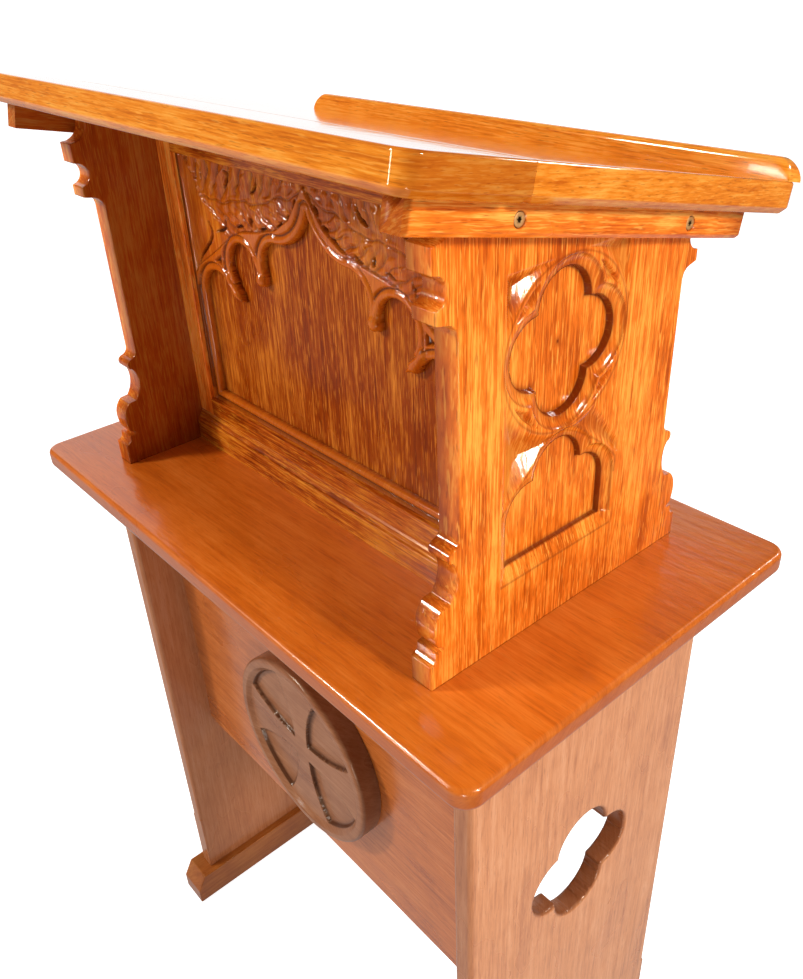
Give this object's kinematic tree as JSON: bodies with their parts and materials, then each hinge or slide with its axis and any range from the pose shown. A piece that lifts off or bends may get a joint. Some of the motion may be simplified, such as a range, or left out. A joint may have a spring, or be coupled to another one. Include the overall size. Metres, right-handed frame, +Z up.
{
  "type": "lectern",
  "caption": "Oak church lectern: sled-footed stand with a cross medallion, an upper unit with carved sides and cusped tracery, and a sloping book desk.",
  "frame": {"origin": "on the floor, under the middle of the stand", "axes": "+Z up, the carved front faces -Y, +X to the right as seen from the front"},
  "size_m": [0.7, 0.417, 1.2031],
  "materials": {
    "stand_oak": "satin",
    "desk_oak": "gloss",
    "dowel_oak": "matte",
    "screw_brass": "satin"
  },
  "bodies": {
    "root": {"stand_top": "stand_oak", "end_board_left": "stand_oak", "end_board_right": "stand_oak", "foot_left": "stand_oak", "foot_right": "stand_oak", "apron": "stand_oak", "medallion": "stand_oak", "side_panel_left": "desk_oak", "side_panel_right": "desk_oak", "plinth_rail": "desk_oak", "stile_left": "desk_oak", "stile_right": "desk_oak", "bottom_rail": "desk_oak", "top_rail": "desk_oak", "tracery_board": "desk_oak", "back_panel": "desk_oak", "batten_left": "desk_oak", "batten_right": "desk_oak", "desk_front_board": "desk_oak", "desk_rear_board": "desk_oak", "book_stop": "desk_oak", "stand_dowels": "dowel_oak", "apron_dowels": "dowel_oak", "side_panel_dowels": "dowel_oak", "batten_screws": "screw_brass", "desk_screws": "screw_brass", "medallion_screws": "screw_brass"}
  },
  "joints": []
}
